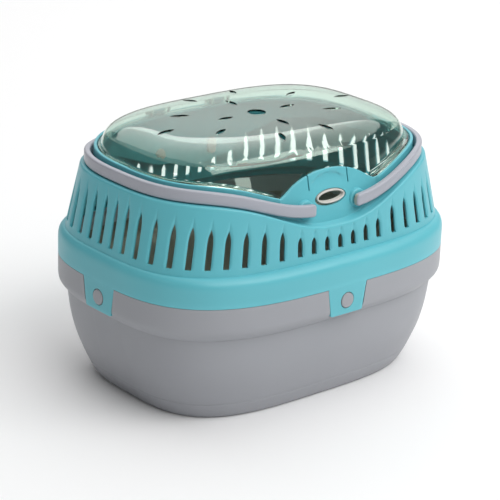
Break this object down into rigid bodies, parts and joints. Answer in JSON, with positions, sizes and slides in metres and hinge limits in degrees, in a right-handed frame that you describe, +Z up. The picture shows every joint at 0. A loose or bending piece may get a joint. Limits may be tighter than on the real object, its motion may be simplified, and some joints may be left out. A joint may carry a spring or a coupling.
{
  "type": "small pet carrier",
  "caption": "Rounded small-animal carrier: tapered tub, slotted upper shell with snap tabs, clear vented dome lid hinged at the back, push latch and two folding carry handles.",
  "frame": {"origin": "centre of the flat underside", "axes": "+Z up, -Y is the front with the lid latch, +X to the right seen from the front, along the long side"},
  "size_m": [0.3016, 0.2276, 0.2075],
  "materials": {
    "grey_plastic": "fine-grained moulded polypropylene, satin",
    "turquoise_plastic": "smooth moulded polypropylene, satin",
    "handle_plastic": "smooth moulded plastic, satin",
    "clear_plastic": "clear moulded polystyrene, glossy"
  },
  "bodies": {
    "carrier": {"base_tub": "grey_plastic", "upper_shell": "turquoise_plastic"},
    "lid": {"dome_lid": "clear_plastic"},
    "latch": {"lid_latch_tongue": "clear_plastic"},
    "bail_left": {"handle_left": "handle_plastic"},
    "bail_right": {"handle_right": "handle_plastic"},
    "snap_f": {"snap_tab_front": "turquoise_plastic"},
    "snap_b": {"snap_tab_rear": "turquoise_plastic"},
    "snap_l": {"snap_tab_left": "turquoise_plastic"},
    "snap_r": {"snap_tab_right": "turquoise_plastic"}
  },
  "joints": [
    {"name": "lid_hinge", "type": "hinge", "parent": "carrier", "child": "lid", "pos_m": [0, 0.0889, 0.1926], "axis": [-1, 0, 0], "range_deg": [0, 105], "deforming": ["lid_latch_tongue"]},
    {"name": "latch_flex", "type": "hinge", "parent": "lid", "child": "latch", "pos_m": [0, -0.0792, 0.1844], "axis": [1, 0, 0], "range_deg": [0, 18], "stiffness_Nm_per_rad": 0.5},
    {"name": "handle_left_fold", "type": "hinge", "parent": "carrier", "child": "bail_left", "pos_m": [-0.026, 0, 0.1576], "axis": [0, -1, 0], "range_deg": [-88, 0]},
    {"name": "handle_right_fold", "type": "hinge", "parent": "carrier", "child": "bail_right", "pos_m": [0.026, 0, 0.1576], "axis": [0, 1, 0], "range_deg": [-88, 0]},
    {"name": "snap_front_flex", "type": "hinge", "parent": "carrier", "child": "snap_f", "pos_m": [0, -0.11178, 0.1009], "axis": [-1, 0, 0], "range_deg": [0, 15], "stiffness_Nm_per_rad": 1},
    {"name": "snap_rear_flex", "type": "hinge", "parent": "carrier", "child": "snap_b", "pos_m": [0, 0.11178, 0.1009], "axis": [1, 0, 0], "range_deg": [0, 15], "stiffness_Nm_per_rad": 1},
    {"name": "snap_left_flex", "type": "hinge", "parent": "carrier", "child": "snap_l", "pos_m": [-0.14878, 0, 0.1009], "axis": [0, 1, 0], "range_deg": [0, 15], "stiffness_Nm_per_rad": 1},
    {"name": "snap_right_flex", "type": "hinge", "parent": "carrier", "child": "snap_r", "pos_m": [0.14878, 0, 0.1009], "axis": [0, -1, 0], "range_deg": [0, 15], "stiffness_Nm_per_rad": 1}
  ]
}
